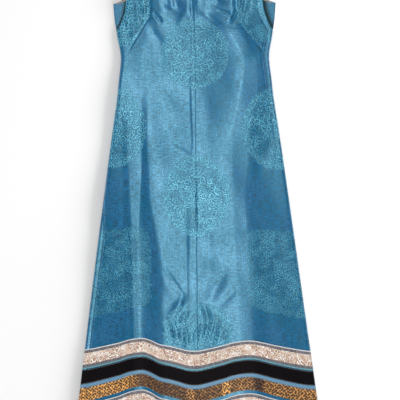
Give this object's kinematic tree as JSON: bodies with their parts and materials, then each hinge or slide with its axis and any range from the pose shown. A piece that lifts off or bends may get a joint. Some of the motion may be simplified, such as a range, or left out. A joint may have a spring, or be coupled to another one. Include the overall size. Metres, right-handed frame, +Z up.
{
  "type": "long vest",
  "caption": "Long sleeveless A-line vest of silk damask with ribbons round the hem, laid flat face up, open at neck, armholes and hem.",
  "frame": {"origin": "under the middle of the garment, on the surface that it lies on", "axes": "+X to the right as seen from above, +Y from the hem to the shoulders, +Z up through the front of the garment"},
  "size_m": [0.738, 1.4152, 0.0301],
  "materials": {
    "silk_damask": "blue silk damask with a sheen and roundels",
    "armhole_facing": "matt tan cotton strip",
    "cream_ribbon": "woven floral ribbon in cream with grey borders",
    "black_satin": "black satin",
    "gold_ribbon": "gold and black woven diaper ribbon"
  },
  "bodies": {
    "root": {"front_left": "silk_damask", "front_right": "silk_damask", "back_left": "silk_damask", "back_right": "silk_damask", "armhole_facing_left": "armhole_facing", "armhole_facing_right": "armhole_facing", "front_cream_upper": "cream_ribbon", "front_black": "black_satin", "front_gold": "gold_ribbon", "front_cream_lower": "cream_ribbon", "back_cream_upper": "cream_ribbon", "back_black": "black_satin", "back_gold": "gold_ribbon", "back_cream_lower": "cream_ribbon"}
  },
  "joints": []
}
